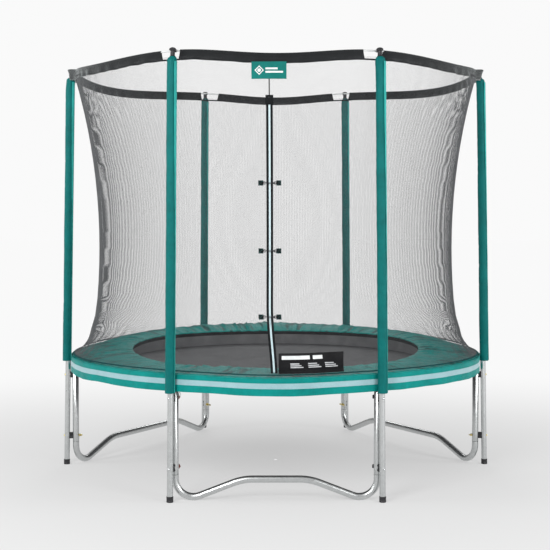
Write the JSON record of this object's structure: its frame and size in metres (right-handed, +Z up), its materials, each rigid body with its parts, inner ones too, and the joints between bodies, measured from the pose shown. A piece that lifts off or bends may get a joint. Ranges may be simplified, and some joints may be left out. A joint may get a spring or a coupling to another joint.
{
  "type": "garden trampoline with safety net",
  "caption": "Round garden trampoline with W-shaped steel tube legs, a sprung mat under a padded ring cover with skirt, and a see-through safety net on sleeved poles with a zip door.",
  "frame": {"origin": "on the ground, below the centre of the mat", "axes": "+Z up, the zip door faces -Y, +X to the right of someone facing the door"},
  "size_m": [2.5742, 2.478, 2.372],
  "materials": {
    "galvanised_steel": "hot-dip galvanised tube, bright grey with a soft spangle",
    "spring_steel": "zinc-plated spring wire",
    "black_plastic": "moulded black plastic, slightly rough",
    "black_hardware": "black lacquered zip slider and hooks",
    "teal_sleeve": "teal coated fabric over foam",
    "teal_vinyl": "teal PVC-coated fabric over foam, with a pale reflective stripe on the skirt",
    "woven_mat": "woven black polypropylene",
    "black_net": "fine black knitted mesh, see-through",
    "fibreglass": "white fibreglass rod"
  },
  "bodies": {
    "frame": {"ring_section_front_left": "galvanised_steel", "leg_upright_front_left": "galvanised_steel", "enclosure_pole_front_left": "galvanised_steel", "pole_foot_cap_front_left": "black_plastic", "pole_top_cap_front_left": "black_plastic", "clamp_spacer_lower_front_left": "black_plastic", "clamp_spacer_upper_front_left": "black_plastic", "pole_sleeve_front_left": "teal_sleeve", "ring_section_front_right": "galvanised_steel", "leg_upright_front_right": "galvanised_steel", "enclosure_pole_front_right": "galvanised_steel", "pole_foot_cap_front_right": "black_plastic", "pole_top_cap_front_right": "black_plastic", "clamp_spacer_lower_front_right": "black_plastic", "clamp_spacer_upper_front_right": "black_plastic", "pole_sleeve_front_right": "teal_sleeve", "ring_section_side_right": "galvanised_steel", "leg_upright_side_right": "galvanised_steel", "enclosure_pole_side_right": "galvanised_steel", "pole_foot_cap_side_right": "black_plastic", "pole_top_cap_side_right": "black_plastic", "clamp_spacer_lower_side_right": "black_plastic", "clamp_spacer_upper_side_right": "black_plastic", "pole_sleeve_side_right": "teal_sleeve", "ring_section_back_right": "galvanised_steel", "leg_upright_back_right": "galvanised_steel", "enclosure_pole_back_right": "galvanised_steel", "pole_foot_cap_back_right": "black_plastic", "pole_top_cap_back_right": "black_plastic", "clamp_spacer_lower_back_right": "black_plastic", "clamp_spacer_upper_back_right": "black_plastic", "pole_sleeve_back_right": "teal_sleeve", "ring_section_back_left": "galvanised_steel", "leg_upright_back_left": "galvanised_steel", "enclosure_pole_back_left": "galvanised_steel", "pole_foot_cap_back_left": "black_plastic", "pole_top_cap_back_left": "black_plastic", "clamp_spacer_lower_back_left": "black_plastic", "clamp_spacer_upper_back_left": "black_plastic", "pole_sleeve_back_left": "teal_sleeve", "ring_section_side_left": "galvanised_steel", "leg_upright_side_left": "galvanised_steel", "enclosure_pole_side_left": "galvanised_steel", "pole_foot_cap_side_left": "black_plastic", "pole_top_cap_side_left": "black_plastic", "clamp_spacer_lower_side_left": "black_plastic", "clamp_spacer_upper_side_left": "black_plastic", "pole_sleeve_side_left": "teal_sleeve", "leg_base_front": "galvanised_steel", "leg_base_left": "galvanised_steel", "leg_base_right": "galvanised_steel", "mat_springs": "spring_steel", "spring_cover_pad": "teal_vinyl", "safety_net": "black_net", "net_top_rod": "fibreglass"},
    "mat": {"jumping_mat": "woven_mat"},
    "zip_slider": {"zip_slider": "black_hardware"},
    "door_clip_1": {"door_clip_hook_1": "black_hardware"},
    "door_clip_2": {"door_clip_hook_2": "black_hardware"},
    "door_clip_3": {"door_clip_hook_3": "black_hardware"}
  },
  "joints": [
    {"name": "mat_bounce", "type": "slide", "parent": "frame", "child": "mat", "axis": [0, 0, 1], "range_m": [-0.3, 0], "stiffness_N_per_m": 6000, "springref_m": 0.02, "deforming": ["mat_springs"]},
    {"name": "zip_travel", "type": "hinge", "parent": "frame", "child": "zip_slider", "pos_m": [-0.14972, -4.76415, 1.33], "axis": [0.9995, -0.0314, 0], "range_deg": [-17.4, 0]},
    {"name": "door_clip_1_unhook", "type": "slide", "parent": "frame", "child": "door_clip_1", "axis": [0.9995, -0.0314, 0], "range_m": [0, 0.02]},
    {"name": "door_clip_2_unhook", "type": "slide", "parent": "frame", "child": "door_clip_2", "axis": [0.9995, -0.0314, 0], "range_m": [0, 0.02]},
    {"name": "door_clip_3_unhook", "type": "slide", "parent": "frame", "child": "door_clip_3", "axis": [0.9995, -0.0314, 0], "range_m": [0, 0.02]}
  ]
}
